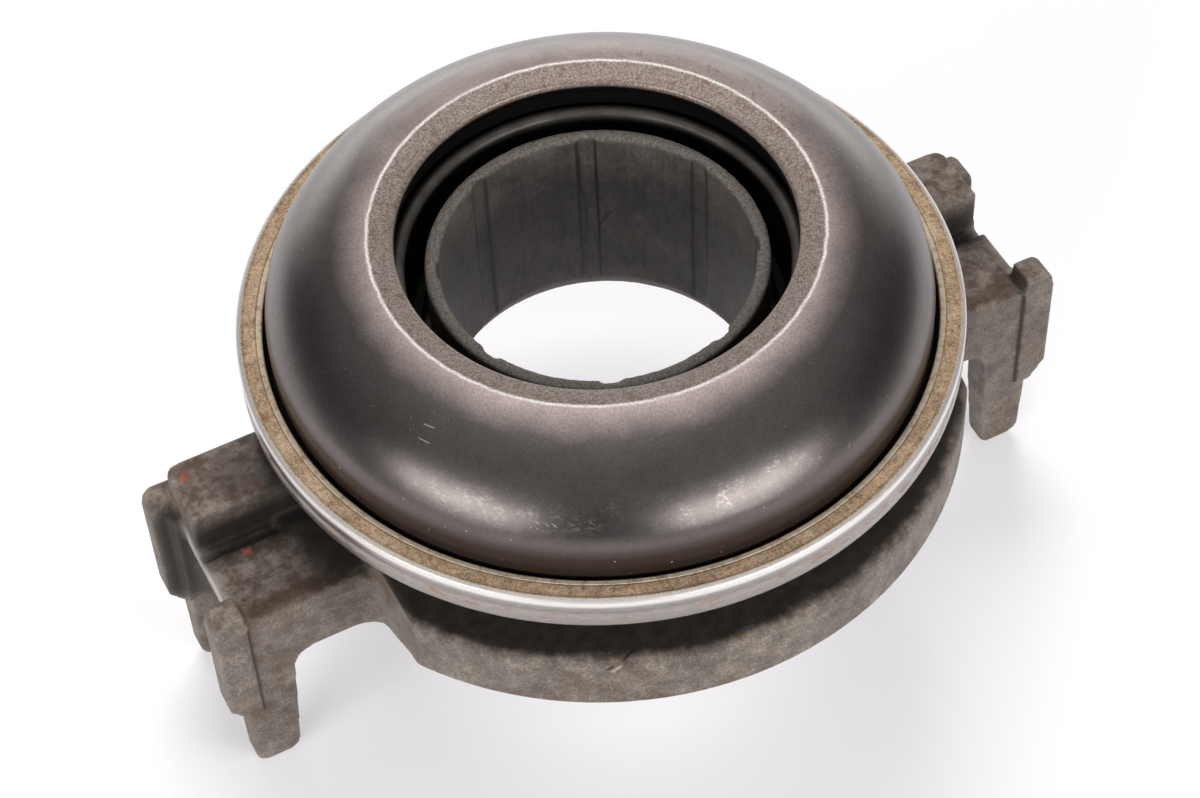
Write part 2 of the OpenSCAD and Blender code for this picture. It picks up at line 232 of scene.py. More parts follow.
def polar(t, mm):
    """The same place as a radius, a height and a direction outwards from the bore axis."""
    parts = add(t, "SeparateXYZ", {"Vector": mm})
    flat = add(t, "CombineXYZ", {"X": parts.outputs["X"], "Y": parts.outputs["Y"]})
    radius = add(t, "VectorMath", {0: flat}, operation="LENGTH")
    around = add(t, "VectorMath", {0: flat}, operation="NORMALIZE")
    return radius, parts.outputs["Z"], around


def bearing(degrees):
    """Direction outwards at an angle round the bore axis."""
    return Vector((math.cos(math.radians(degrees)), math.sin(math.radians(degrees)), 0))


def between(t, value, low, high, soft):
    """1 where a value lies between two others, fading over a soft width at both ends."""
    rise = add(t, "MapRange", {"Value": value, "From Min": low - soft, "From Max": low + soft},
               interpolation_type="SMOOTHSTEP")
    fall = add(t, "MapRange", {"Value": value, "From Min": high + soft, "From Max": high - soft},
               interpolation_type="SMOOTHSTEP")
    return add(t, "Math", {0: rise, 1: fall}, operation="MULTIPLY")


def scratch(t, mm, start, end, half_width):
    """1 along a straight mark between two places, fading to its sides."""
    start, end = Vector(start), Vector(end)
    run = (end - start).normalized()
    reach = (end - start).length / 2
    off = add(t, "VectorMath", {0: mm, 1: (start + end) / 2}, operation="SUBTRACT")
    along = add(t, "VectorMath", {0: off, 1: run}, operation="DOT_PRODUCT")
    along = add(t, "Clamp", {"Value": along, "Min": -reach, "Max": reach})
    foot = add(t, "VectorMath", {0: run, "Scale": along}, operation="SCALE")
    gap = add(t, "VectorMath", {0: off, 1: foot}, operation="DISTANCE")
    return add(t, "MapRange", {"Value": gap, "From Min": half_width, "From Max": half_width * 0.3})


def spot(t, mm, centre, size, ragged):
    """1 inside a small ragged spot."""
    gap = add(t, "VectorMath", {0: mm, 1: centre}, operation="DISTANCE")
    rough = add(t, "TexNoise", {"Vector": mm, "Scale": 1 / (0.6 * size), "Detail": 3})
    gap = add(t, "Math", {0: rough, 1: ragged * size, 2: gap}, operation="MULTIPLY_ADD")
    reach = size * (1 + ragged / 2)
    return add(t, "MapRange", {"Value": gap, "From Min": reach, "From Max": reach - 0.7 * size},
               interpolation_type="SMOOTHSTEP")


def blackened_pressed_steel():
    """Deep-drawn steel with a black oxide skin under a film of oil: dark and half glossy, rubbed brown-grey
    round the hole, bright where the spring's fingers run, with fine scuffs on the shoulder."""
    material, t, mm = begin("blackened_pressed_steel")
    radius, height, around = polar(t, mm)
    patches = add(t, "TexNoise", {"Vector": mm, "Scale": 1 / 5, "Detail": 4, "Roughness": 0.6})
    # Pressed grain is about 0.1 mm, drawn at twice that so that it shows
    grain = add(t, "TexNoise", {"Vector": mm, "Scale": 1 / 0.22, "Detail": 3, "Roughness": 0.7})
    skin = add(t, "Mix", {"Factor": patches, "A": colour("#625c59"), "B": colour("#807976")},
               data_type="RGBA")
    # Painted shade: the foot is darker where it meets the cover
    low = add(t, "MapRange", {"Value": height, "From Min": 4.8, "From Max": 2.8})
    skin = add(t, "Mix", {"Factor": low, "A": skin, "B": colour("#2c231e")}, data_type="RGBA")
    grain_tone = add(t, "MapRange", {"Value": grain, "From Min": 0.3, "From Max": 0.7,
                                     "To Min": 0.8, "To Max": 1.2})
    skin = add(t, "VectorMath", {0: skin, "Scale": grain_tone}, operation="SCALE")
    # Rubbed zone, fading outwards from the contact line over some 3 mm, its edge wandering by a millimetre
    worn_radius = add(t, "Math", {0: patches, 1: 3.0, 2: radius}, operation="MULTIPLY_ADD")
    rubbed = add(t, "MapRange", {"Value": worn_radius, "From Min": LINE_R + 5.04,
                                 "From Max": LINE_R + 1.54})
    rubbed_tone = add(t, "MapRange", {"Value": grain, "From Min": 0.3, "From Max": 0.7,
                                      "To Min": 0.55, "To Max": 1.15})
    rubbed = add(t, "Math", {0: rubbed, 1: rubbed_tone}, operation="MULTIPLY", use_clamp=True)
    skin = add(t, "Mix", {"Factor": rubbed, "A": skin, "B": colour("#d2beb8")}, data_type="RGBA")
    # Face between the hole and the contact line: brown-grey with dark specks and rust-brown patches
    specks = add(t, "MapRange", {"Value": grain, "From Min": 0.4, "From Max": 0.62})
    face_tone = add(t, "Mix", {"Factor": specks, "A": colour("#72655d"), "B": colour("#aa9b92")},
                    data_type="RGBA")
    pits = add(t, "TexNoise", {"Vector": mm, "Scale": 1 / 0.9, "Detail": 4, "Roughness": 0.65})
    pits = add(t, "MapRange", {"Value": pits, "From Min": 0.56, "From Max": 0.68, "To Max": 0.7})
    face_tone = add(t, "Mix", {"Factor": pits, "A": face_tone, "B": colour("#6b5548")}, data_type="RGBA")
    face = add(t, "MapRange", {"Value": radius, "From Min": LINE_R + 0.2, "From Max": LINE_R - 0.2})
    skin = add(t, "Mix", {"Factor": face, "A": skin, "B": face_tone}, data_type="RGBA")
    # Rust-brown specks reach over the line on one side
    rust_side = add(t, "VectorMath", {0: around, 1: bearing(15)}, operation="DOT_PRODUCT")
    rust_side = add(t, "MapRange", {"Value": rust_side, "From Min": 0.5, "From Max": 0.9})
    rust_near = between(t, radius, LINE_R - 1.36, LINE_R + 3.14, 0.8)
    rust = add(t, "Math", {0: rust_side, 1: rust_near}, operation="MULTIPLY")
    rust = add(t, "Math", {0: rust, 1: pits}, operation="MULTIPLY")
    skin = add(t, "Mix", {"Factor": rust, "A": skin, "B": colour("#785746")}, data_type="RGBA")
    # Bright contact line a third of a millimetre wide, broken into grains, its edges and strength uneven
    turned = add(t, "VectorMath", {0: around, "Scale": LINE_R}, operation="SCALE")
    waver = add(t, "TexNoise", {"Vector": turned, "Scale": 1 / 1.5, "Detail": 5, "Roughness": 0.7})
    line_radius = add(t, "Math", {0: waver, 1: 0.45, 2: radius}, operation="MULTIPLY_ADD")
    off_line = add(t, "Math", {0: line_radius, 1: -LINE_R - 0.225}, operation="ADD")
    off_line = add(t, "Math", {0: off_line}, operation="ABSOLUTE")
    line = add(t, "MapRange", {"Value": off_line, "From Min": 0.28, "From Max": 0.05})
    fade = add(t, "MapRange", {"Value": patches, "From Min": 0.3, "From Max": 0.6,
                               "To Min": 0.8, "To Max": 1.0})
    line = add(t, "Math", {0: line, 1: fade}, operation="MULTIPLY")
    glint = add(t, "MapRange", {"Value": grain, "From Min": 0.38, "From Max": 0.56,
                                "To Min": 0.5, "To Max": 1.0})
    line = add(t, "Math", {0: line, 1: glint}, operation="MULTIPLY")
    skin = add(t, "Mix", {"Factor": line, "A": skin, "B": colour("#ece5df")}, data_type="RGBA")
    # Scuffs on the shoulder: flecks half a millimetre long in loose patches, on the side that met the bench
    slope = add(t, "Math", {0: radius, 1: height}, operation="SUBTRACT")
    across = add(t, "CombineXYZ", {"Z": slope})
    along = add(t, "VectorMath", {0: around, "Scale": 18.0}, operation="SCALE")
    streak_place = add(t, "VectorMath", {0: along, 1: across}, operation="ADD")
    streaks = add(t, "TexNoise", {"Vector": streak_place, "Scale": 1 / 0.3, "Detail": 4, "Roughness": 0.75})
    bench_side = add(t, "VectorMath", {0: around, 1: bearing(250)}, operation="DOT_PRODUCT")
    bench_side = add(t, "MapRange", {"Value": bench_side, "From Min": 0.7, "From Max": 0.9})
    shoulder = between(t, radius, DOME_R - 2.7, DOME_R - 1.1, 0.7)
    scuffed = add(t, "Math", {0: bench_side, 1: shoulder}, operation="MULTIPLY")
    loose = add(t, "TexNoise", {"Vector": mm, "Scale": 1 / 1.8, "Detail": 3, "Roughness": 0.6})
    loose = add(t, "MapRange", {"Value": loose, "From Min": 0.48, "From Max": 0.62})
    scuffed = add(t, "Math", {0: scuffed, 1: loose}, operation="MULTIPLY")
    scuffs = add(t, "MapRange", {"Value": streaks, "From Min": 0.48, "From Max": 0.62, "To Max": 0.9})
    scuffs = add(t, "Math", {0: scuffs, 1: scuffed}, operation="MULTIPLY")
    skin = add(t, "Mix", {"Factor": scuffs, "A": skin, "B": colour("#b3aca6")}, data_type="RGBA")
    # Dust specks, a tenth of a millimetre, one to every two millimetres or so
    dust = add(t, "TexVoronoi", {"Vector": mm, "Scale": 1 / 1.7}).outputs["Distance"]
    dust = add(t, "MapRange", {"Value": dust, "From Min": 0.07, "From Max": 0.03, "To Max": 0.6})
    skin = add(t, "Mix", {"Factor": dust, "A": skin, "B": colour("#bab4af")}, data_type="RGBA")
    # Two scratches and three strokes beside each other
    for start, end in SCRATCHES:
        mark = scratch(t, mm, start, end, 0.07)
        skin = add(t, "Mix", {"Factor": mark, "A": skin, "B": colour("#e6e0db")}, data_type="RGBA")
    # Hole wall and underside are painted black as shade, for the dark gap round the inner ring
    section = add(t, "CombineXYZ", {"X": radius, "Y": height})
    depth = add(t, "VectorMath", {0: section, 1: (*CROWN, 0)}, operation="DISTANCE")
    inside = add(t, "MapRange", {"Value": depth, "From Min": CROWN_R - 1.05, "From Max": CROWN_R - 1.4})
    skin = add(t, "Mix", {"Factor": inside, "A": skin, "B": colour("#0b0a0a")}, data_type="RGBA")

    oil = add(t, "MapRange", {"Value": inside, "To Min": 0.1, "To Max": 0.0})
    gloss = add(t, "MapRange", {"Value": streaks, "From Min": 0.3, "From Max": 0.7,
                                "To Min": 0.27, "To Max": 0.36})
    # Scratched metal throws light back every way, so the line, the face and the rubbed zone are partly matt;
    # so is the foot, painted dark as shade next to the cover
    matt = add(t, "Math", {0: rubbed, 1: 0.25}, operation="MULTIPLY")
    matt_foot = add(t, "Math", {0: low, 1: 0.8}, operation="MULTIPLY")
    matt = add(t, "Math", {0: matt, 1: matt_foot}, operation="MAXIMUM")
    matt_face = add(t, "Math", {0: face, 1: 0.5}, operation="MULTIPLY")
    matt = add(t, "Math", {0: matt, 1: matt_face}, operation="MAXIMUM")
    matt = add(t, "Math", {0: matt, 1: line}, operation="MAXIMUM")
    metal = add(t, "MapRange", {"Value": matt, "To Min": 0.97, "To Max": 0.0})
    bump = add(t, "Bump", {"Height": grain, "Strength": 0.3, "Distance": 0.02 * MM})
    shader = add(t, "BsdfPrincipled", {"Base Color": skin, "Metallic": metal, "Roughness": gloss,
                                       "Coat Weight": oil, "Coat Roughness": 0.28, "Normal": bump})
    add(t, "OutputMaterial", {"Surface": shader})
    return material


def bare_pressed_steel():
    """Pressed sheet steel: rubbed bright on its rolled corner and whitened there as a painted highlight,
    dull and stained on the side, its flat face covered by tan dirt that dried on oil."""
    material, t, mm = begin("bare_pressed_steel")
    radius, height, around = polar(t, mm)
    patches = add(t, "TexNoise", {"Vector": mm, "Scale": 1 / 3, "Detail": 6, "Roughness": 0.7})
    patches = add(t, "MapRange", {"Value": patches, "From Min": 0.3, "From Max": 0.7})
    grain = add(t, "TexNoise", {"Vector": mm, "Scale": 1 / 0.19, "Detail": 3, "Roughness": 0.75})
    flakes = add(t, "TexNoise", {"Vector": mm, "Scale": 1 / 0.7, "Detail": 3, "Roughness": 0.6})
    # Stains run round the side: short in height, long round the ring
    rise = add(t, "CombineXYZ", {"Z": height})
    along = add(t, "VectorMath", {0: around, "Scale": 12.0}, operation="SCALE")
    stain_place = add(t, "VectorMath", {0: along, 1: rise}, operation="ADD")
    stains = add(t, "TexNoise", {"Vector": stain_place, "Scale": 1.4, "Detail": 6, "Roughness": 0.65})
    fine = add(t, "TexNoise", {"Vector": stain_place, "Scale": 3.5, "Detail": 4, "Roughness": 0.7})

    steel = add(t, "Mix", {"Factor": fine, "A": colour("#847f7b"), "B": colour("#bbb6b1")},
                data_type="RGBA")
    # The rolled corner: rubbed bright, and whitened further as a painted highlight
    corner = between(t, height, -0.9, 0.2, 0.3)
    corner = add(t, "Math", {0: corner, 1: 0.65}, operation="MULTIPLY")
    steel = add(t, "Mix", {"Factor": corner, "A": steel, "B": colour("#f5f1ed")}, data_type="RGBA")
    middle = between(t, height, -3.0, -1.9, 0.35)
    rust = add(t, "MapRange", {"Value": stains, "From Min": 0.44, "From Max": 0.62, "To Max": 0.9})
    rust = add(t, "Math", {0: rust, 1: middle}, operation="MULTIPLY")
    rust_tone = add(t, "Mix", {"Factor": fine, "A": colour("#634637"), "B": colour("#8f7767")},
                    data_type="RGBA")
    steel = add(t, "Mix", {"Factor": rust, "A": steel, "B": rust_tone}, data_type="RGBA")

    dirt = add(t, "Mix", {"Factor": patches, "A": colour("#8a6d52"), "B": colour("#d6b998")},
               data_type="RGBA")
    pale = add(t, "MapRange", {"Value": grain, "From Min": 0.5, "From Max": 0.66, "To Max": 0.6})
    dirt = add(t, "Mix", {"Factor": pale, "A": dirt, "B": colour("#e8d1b4")}, data_type="RGBA")
    dark = add(t, "MapRange", {"Value": grain, "From Min": 0.46, "From Max": 0.34, "To Max": 0.6})
    dirt = add(t, "Mix", {"Factor": dark, "A": dirt, "B": colour("#40291a")}, data_type="RGBA")
    red = add(t, "MapRange", {"Value": flakes, "From Min": 0.56, "From Max": 0.68, "To Max": 0.55})
    dirt = add(t, "Mix", {"Factor": red, "A": dirt, "B": colour("#7d4527")}, data_type="RGBA")
    olive = add(t, "MapRange", {"Value": flakes, "From Min": 0.44, "From Max": 0.34, "To Max": 0.5})
    dirt = add(t, "Mix", {"Factor": olive, "A": dirt, "B": colour("#6a5a41")}, data_type="RGBA")
    # A paler strip next to the dome, broken up, then a thin dark line
    strip = add(t, "MapRange", {"Value": radius, "From Min": SCORE_R + 0.13, "From Max": SCORE_R - 0.07})
    worn = add(t, "MapRange", {"Value": flakes, "From Min": 0.4, "From Max": 0.6,
                               "To Min": 0.2, "To Max": 0.8})
    strip = add(t, "Math", {0: strip, 1: worn}, operation="MULTIPLY")
    dirt = add(t, "Mix", {"Factor": strip, "A": dirt, "B": colour("#d2c5b0")}, data_type="RGBA")
    ring = between(t, radius, SCORE_R - 0.05, SCORE_R + 0.07, 0.06)
    ring = add(t, "Math", {0: ring, 1: 0.35}, operation="MULTIPLY")
    dirt = add(t, "Mix", {"Factor": ring, "A": dirt, "B": colour("#3f3022")}, data_type="RGBA")
    edge_radius = add(t, "Math", {0: grain, 1: 0.7, 2: radius}, operation="MULTIPLY_ADD")
    stained = add(t, "MapRange", {"Value": edge_radius, "From Min": COVER_R + 0.1,
                                  "From Max": COVER_R - 0.3})
    top = add(t, "MapRange", {"Value": height, "From Min": -0.6, "From Max": -0.3})
    stained = add(t, "Math", {0: stained, 1: top}, operation="MULTIPLY")
    skin = add(t, "Mix", {"Factor": stained, "A": steel, "B": dirt}, data_type="RGBA")

    cover = add(t, "Math", {0: stained, 1: rust}, operation="MAXIMUM")
    corner_wear_and_highlight = add(t, "Math", {0: corner, 1: 0.5}, operation="MULTIPLY")
    cover = add(t, "Math", {0: cover, 1: corner_wear_and_highlight}, operation="MAXIMUM")
    metal = add(t, "MapRange", {"Value": cover, "To Min": 1.0, "To Max": 0.2})
    gloss = add(t, "MapRange", {"Value": cover, "To Min": 0.32, "To Max": 0.6})
    bump = add(t, "Bump", {"Height": grain, "Strength": 0.4, "Distance": 0.04 * MM})
    shader = add(t, "BsdfPrincipled", {"Base Color": skin, "Metallic": metal, "Roughness": gloss,
                                       "Normal": bump})
    add(t, "OutputMaterial", {"Surface": shader})
    return material


def oily_turned_steel():
    """Hardened steel, turned and oily: near black, with a soft gloss and a painted sheen on top of its
    rolled end.
    """
    material, t, mm = begin("oily_turned_steel")
    height = add(t, "SeparateXYZ", {"Vector": mm}).outputs["Z"]
    patches = add(t, "TexNoise", {"Vector": mm, "Scale": 1 / 3, "Detail": 4, "Roughness": 0.6})
    grain = add(t, "TexNoise", {"Vector": mm, "Scale": 1 / 0.3, "Detail": 3, "Roughness": 0.7})
    skin = add(t, "Mix", {"Factor": patches, "A": colour("#131211"), "B": colour("#23201e")},
               data_type="RGBA")
    # Painted sheen: the top of the rolled end is lightened where it catches the light
    lip = add(t, "MapRange", {"Value": height, "From Min": RING_TOP - 1.6, "From Max": RING_TOP},
              interpolation_type="SMOOTHSTEP")
    lip_sheen = add(t, "MapRange", {"Value": patches, "From Min": 0.3, "From Max": 0.7,
                                "To Min": 0.3, "To Max": 0.6})
    lip_sheen = add(t, "Math", {0: lip_sheen, 1: lip}, operation="MULTIPLY")
    skin = add(t, "Mix", {"Factor": lip_sheen, "A": skin, "B": colour("#8a837c")}, data_type="RGBA")
    gloss = add(t, "MapRange", {"Value": grain, "To Min": 0.35, "To Max": 0.6})
    bump = add(t, "Bump", {"Height": grain, "Strength": 0.2, "Distance": 0.02 * MM})
    shader = add(t, "BsdfPrincipled", {"Base Color": skin, "Metallic": 0.7, "Roughness": gloss,
                                       "Normal": bump})
    add(t, "OutputMaterial", {"Surface": shader})
    return material


def moulded_glass_nylon():
    """Injection-moulded nylon with glass fibre: grey-brown and dull with pale fibre flecks, rubbed paler on
    its edges, browned by dust on its tops with a painted sheen there too, darkened in its corners by dirt
    and painted shade, black with grease and painted shade where the cover shelters it."""
    material, t, mm = begin("moulded_glass_nylon")
    radius, height, around = polar(t, mm)
    patches = add(t, "TexNoise", {"Vector": mm, "Scale": 1 / 5, "Detail": 7, "Roughness": 0.7})
    dirt = add(t, "TexNoise", {"Vector": mm, "Scale": 1 / 8, "Detail": 7, "Roughness": 0.7,
                               "Distortion": 0.5})
    blotch = add(t, "TexNoise", {"Vector": mm, "Scale": 1 / 1.6, "Detail": 5, "Roughness": 0.7})
    grain = add(t, "TexNoise", {"Vector": mm, "Scale": 1 / 0.27, "Detail": 3, "Roughness": 0.75})
    tone = add(t, "MapRange", {"Value": patches, "From Min": 0.32, "From Max": 0.68})
    skin = add(t, "Mix", {"Factor": tone, "A": colour("#423b35"), "B": colour("#6d645b")}, data_type="RGBA")
    brown = add(t, "MapRange", {"Value": dirt, "From Min": 0.48, "From Max": 0.64, "To Max": 0.7})
    skin = add(t, "Mix", {"Factor": brown, "A": skin, "B": colour("#4a3a2b")}, data_type="RGBA")
    # Blotches and grain darken and lighten it by up to a half
    blotch_tone = add(t, "MapRange", {"Value": blotch, "From Min": 0.35, "From Max": 0.65,
                                      "To Min": 0.7, "To Max": 1.25})
    skin = add(t, "VectorMath", {0: skin, "Scale": blotch_tone}, operation="SCALE")
    grain_tone = add(t, "MapRange", {"Value": grain, "From Min": 0.3, "From Max": 0.7,
                                     "To Min": 0.5, "To Max": 1.45})
    skin = add(t, "VectorMath", {0: skin, "Scale": grain_tone}, operation="SCALE")
    flecks = add(t, "MapRange", {"Value": grain, "From Min": 0.62, "From Max": 0.74, "To Max": 0.5})
    skin = add(t, "Mix", {"Factor": flecks, "A": skin, "B": colour("#a09585")}, data_type="RGBA")
    # Dust settled on what faces up, lightened in part as a painted sheen
    up = add(t, "SeparateXYZ", {"Vector": add(t, "TexCoord").outputs["Normal"]}).outputs["Z"]
    up = add(t, "MapRange", {"Value": up, "From Min": 0.6, "From Max": 0.95, "To Max": 0.75})
    tops_dust_and_sheen = add(t, "Math", {0: up, 1: grain_tone}, operation="MULTIPLY", use_clamp=True)
    brown_dust = add(t, "MapRange", {"Value": blotch, "From Min": 0.4, "From Max": 0.6})
    dust = add(t, "Mix", {"Factor": brown_dust, "A": colour("#54453b"), "B": colour("#897e75")},
               data_type="RGBA")
    skin = add(t, "Mix", {"Factor": tops_dust_and_sheen, "A": skin, "B": dust}, data_type="RGBA")
    # Edges rubbed pale; corners darkened by dirt and by painted shade
    rims = add(t, "AmbientOcclusion", {"Distance": 0.8 * MM}, inside=True, samples=6)
    edges = add(t, "MapRange", {"Value": rims, "From Min": 0.8, "From Max": 0.45, "To Max": 0.45})
    edges = add(t, "Math", {0: edges, 1: blotch_tone}, operation="MULTIPLY")
    skin = add(t, "Mix", {"Factor": edges, "A": skin, "B": colour("#8f857a")}, data_type="RGBA")
    hollow_dirt_and_shade = add(t, "AmbientOcclusion", {"Distance": 1.2 * MM}, samples=6)
    corners = add(t, "MapRange", {"Value": hollow_dirt_and_shade, "From Min": 0.85, "From Max": 0.45, "To Max": 0.85})
    skin = add(t, "Mix", {"Factor": corners, "A": skin, "B": colour("#1f1a15")}, data_type="RGBA")
    # Dirt caked along each block's foot, painted shade on the inner side of the far pads, a thin dark line
    # down the step beside each near pad, and the decks' ends painted paler
    for side in (-1, 1):
        for start, end, width, share, tint in EAR_STRIPS:
            start, end = Vector(start), Vector(end)
            start.x *= side
            end.x *= side
            mark = scratch(t, mm, start, end, width)
            mark = add(t, "Math", {0: mark, 1: share}, operation="MULTIPLY")
            skin = add(t, "Mix", {"Factor": mark, "A": skin, "B": colour(tint)}, data_type="RGBA")
    # Tube end: grey and grainy
    end = add(t, "MapRange", {"Value": height, "From Min": TUBE_TOP - 0.5, "From Max": TUBE_TOP - 0.1})
    end_grain = add(t, "MapRange", {"Value": grain, "From Min": 0.35, "From Max": 0.65})
    end_tone = add(t, "Mix", {"Factor": end_grain, "A": colour("#3f3a35"), "B": colour("#77706a")},
                   data_type="RGBA")
    skin = add(t, "Mix", {"Factor": end, "A": skin, "B": end_tone}, data_type="RGBA")
    # Bore wall: dark and blotched, finely streaked along the sleeve, with dirt along the groove edges
    rise = add(t, "VectorMath", {0: mm, 1: (1, 1, 0.12)}, operation="MULTIPLY")
    streaks = add(t, "TexNoise", {"Vector": rise, "Scale": 1 / 0.5, "Detail": 4, "Roughness": 0.65})
    wear = add(t, "Math", {0: streaks, 1: 0.35, 2: patches}, operation="MULTIPLY_ADD")
    wear = add(t, "MapRange", {"Value": wear, "From Min": 0.52, "From Max": 0.88})
    wall_tone = add(t, "Mix", {"Factor": wear, "A": colour("#26221f"), "B": colour("#5b554f")},
                    data_type="RGBA")
    wall_brown = add(t, "Math", {0: brown, 1: 0.7}, operation="MULTIPLY")
    wall_tone = add(t, "Mix", {"Factor": wall_brown, "A": wall_tone, "B": colour("#43352a")},
                    data_type="RGBA")
    wall_tone = add(t, "VectorMath", {0: wall_tone, "Scale": grain_tone}, operation="SCALE")
    groove = between(t, radius, BORE_R + 0.08, BORE_R + 0.28, 0.05)
    groove = add(t, "Math", {0: groove, 1: 0.8}, operation="MULTIPLY")
    wall_tone = add(t, "Mix", {"Factor": groove, "A": wall_tone, "B": colour("#171412")}, data_type="RGBA")
    bore = add(t, "MapRange", {"Value": radius, "From Min": BORE_R + 0.8, "From Max": BORE_R + 0.6})
    below = add(t, "MapRange", {"Value": height, "From Min": TUBE_TOP - 0.2, "From Max": TUBE_TOP - 0.7})
    bore = add(t, "Math", {0: bore, 1: below}, operation="MULTIPLY")
    skin = add(t, "Mix", {"Factor": bore, "A": skin, "B": wall_tone}, data_type="RGBA")
    # Hooked cracks in the bore's lining, and a gouge on the flange with a pale lip
    for run in CRACKS:
        for start, end in zip(run, run[1:]):
            mark = scratch(t, mm, start, end, 0.2)
            skin = add(t, "Mix", {"Factor": mark, "A": skin, "B": colour("#171411")}, data_type="RGBA")
    mark = scratch(t, mm, *GOUGE_LIP, 0.2)
    skin = add(t, "Mix", {"Factor": mark, "A": skin, "B": colour("#857d73")}, data_type="RGBA")
    # Black grease and painted shade in the shelter of the cover, on the flange's top and the inner end of
    # each deck
    ragged = add(t, "Math", {0: patches, 1: 4.0, 2: radius}, operation="MULTIPLY_ADD")
    shelf = add(t, "MapRange", {"Value": ragged, "From Min": FLANGE_R + 2.2, "From Max": FLANGE_R + 0.8})
    above = between(t, height, FLANGE_TOP - 0.4, BASE_TOP - 0.2, 0.25)
    shelf = add(t, "Math", {0: shelf, 1: above}, operation="MULTIPLY")
    deck = add(t, "MapRange", {"Value": ragged, "From Min": FLANGE_R + 3.6, "From Max": FLANGE_R - 1.2},
               interpolation_type="SMOOTHSTEP")
    deck_high = between(t, height, FLANGE_TOP - 5.6, FLANGE_TOP + 0.7, 0.2)
    deck = add(t, "Math", {0: deck, 1: deck_high}, operation="MULTIPLY")
    on_ear = add(t, "SeparateXYZ", {"Vector": around})
    on_ear = add(t, "Math", {0: on_ear.outputs["Y"]}, operation="ABSOLUTE")
    on_ear = add(t, "MapRange", {"Value": on_ear, "From Min": 0.33, "From Max": 0.25})
    deck = add(t, "Math", {0: deck, 1: on_ear}, operation="MULTIPLY")
    grease = add(t, "Math", {0: shelf, 1: deck}, operation="MAXIMUM")
    outside = add(t, "MapRange", {"Value": radius, "From Min": 28.0, "From Max": 29.0, "To Max": 0.9})
    grease = add(t, "Math", {0: grease, 1: outside}, operation="MULTIPLY")
    skin = add(t, "Mix", {"Factor": grease, "A": skin, "B": colour("#1d1a16")}, data_type="RGBA")
    # Small spots of rust, and rusty dirt on one block
    for centre, size, share, tint in SPOTS:
        mark = spot(t, mm, centre, size, 1.6)
        mark = add(t, "Math", {0: mark, 1: share}, operation="MULTIPLY")
        skin = add(t, "Mix", {"Factor": mark, "A": skin, "B": colour(tint)}, data_type="RGBA")
    gloss = add(t, "MapRange", {"Value": patches, "To Min": 0.5, "To Max": 0.7})
    bump = add(t, "Bump", {"Height": grain, "Strength": 0.5, "Distance": 0.06 * MM})
    shader = add(t, "BsdfPrincipled", {"Base Color": skin, "Roughness": gloss, "Normal": bump})
    add(t, "OutputMaterial", {"Surface": shader})
    return material


def moulded_black_rubber():
    """Moulded nitrile rubber: near black and dull, with a fine dusty grain, darkened further as painted
    shade.
    """
    material, t, mm = begin("moulded_black_rubber")
    dust = add(t, "TexNoise", {"Vector": mm, "Scale": 1 / 0.5, "Detail": 4, "Roughness": 0.6})
    # Near black rubber, made darker still as painted shade in the gap it sits in
    skin = add(t, "Mix", {"Factor": dust, "A": colour("#050505"), "B": colour("#0c0b0b")}, data_type="RGBA")
    bump = add(t, "Bump", {"Height": dust, "Strength": 0.2, "Distance": 0.02 * MM})
    shader = add(t, "BsdfPrincipled", {"Base Color": skin, "Roughness": 0.75, "Specular IOR Level": 0.1,
                                       "Normal": bump})
    add(t, "OutputMaterial", {"Surface": shader})
    return material


def natural_moulded_nylon():
    """Unfilled moulded nylon: warm cream-brown, oil soaked, with a waxy gloss."""
    material, t, mm = begin("natural_moulded_nylon")
    soak = add(t, "TexNoise", {"Vector": mm, "Scale": 1 / 2, "Detail": 3, "Roughness": 0.5})
    skin = add(t, "Mix", {"Factor": soak, "A": colour("#9a7b48"), "B": colour("#c8ac78")}, data_type="RGBA")
    shader = add(t, "BsdfPrincipled", {"Base Color": skin, "Roughness": 0.4})
    add(t, "OutputMaterial", {"Surface": shader})
    return material


def ground_bearing_steel():
    """Ground and polished ball steel: bright, almost a mirror, with a thin film of grease."""
    material, t, mm = begin("ground_bearing_steel")
    grease = add(t, "TexNoise", {"Vector": mm, "Scale": 1 / 2.5, "Detail": 3, "Roughness": 0.5})
    skin = add(t, "Mix", {"Factor": grease, "A": colour("#b9babb"), "B": colour("#d6d7d8")},
               data_type="RGBA")
    gloss = add(t, "MapRange", {"Value": grease, "To Min": 0.06, "To Max": 0.22})
    shader = add(t, "BsdfPrincipled", {"Base Color": skin, "Metallic": 1.0, "Roughness": gloss})
    add(t, "OutputMaterial", {"Surface": shader})
    return material


def rolled_spring_steel():
    """Cold-rolled spring strip: grey-blue, satin, with a little oil staining."""
    material, t, mm = begin("rolled_spring_steel")
    stain = add(t, "TexNoise", {"Vector": mm, "Scale": 1 / 3, "Detail": 4, "Roughness": 0.6})
    skin = add(t, "Mix", {"Factor": stain, "A": colour("#5d6063"), "B": colour("#8d9094")},
               data_type="RGBA")
    gloss = add(t, "MapRange", {"Value": stain, "To Min": 0.28, "To Max": 0.5})
    shader = add(t, "BsdfPrincipled", {"Base Color": skin, "Metallic": 1.0, "Roughness": gloss})
    add(t, "OutputMaterial", {"Surface": shader})
    return material


dome_steel = blackened_pressed_steel()
cover_steel = bare_pressed_steel()
ring_steel = oily_turned_steel()
carrier_nylon = moulded_glass_nylon()
seal_rubber = moulded_black_rubber()
cage_nylon = natural_moulded_nylon()
ball_steel = ground_bearing_steel()
spring_steel = rolled_spring_steel()

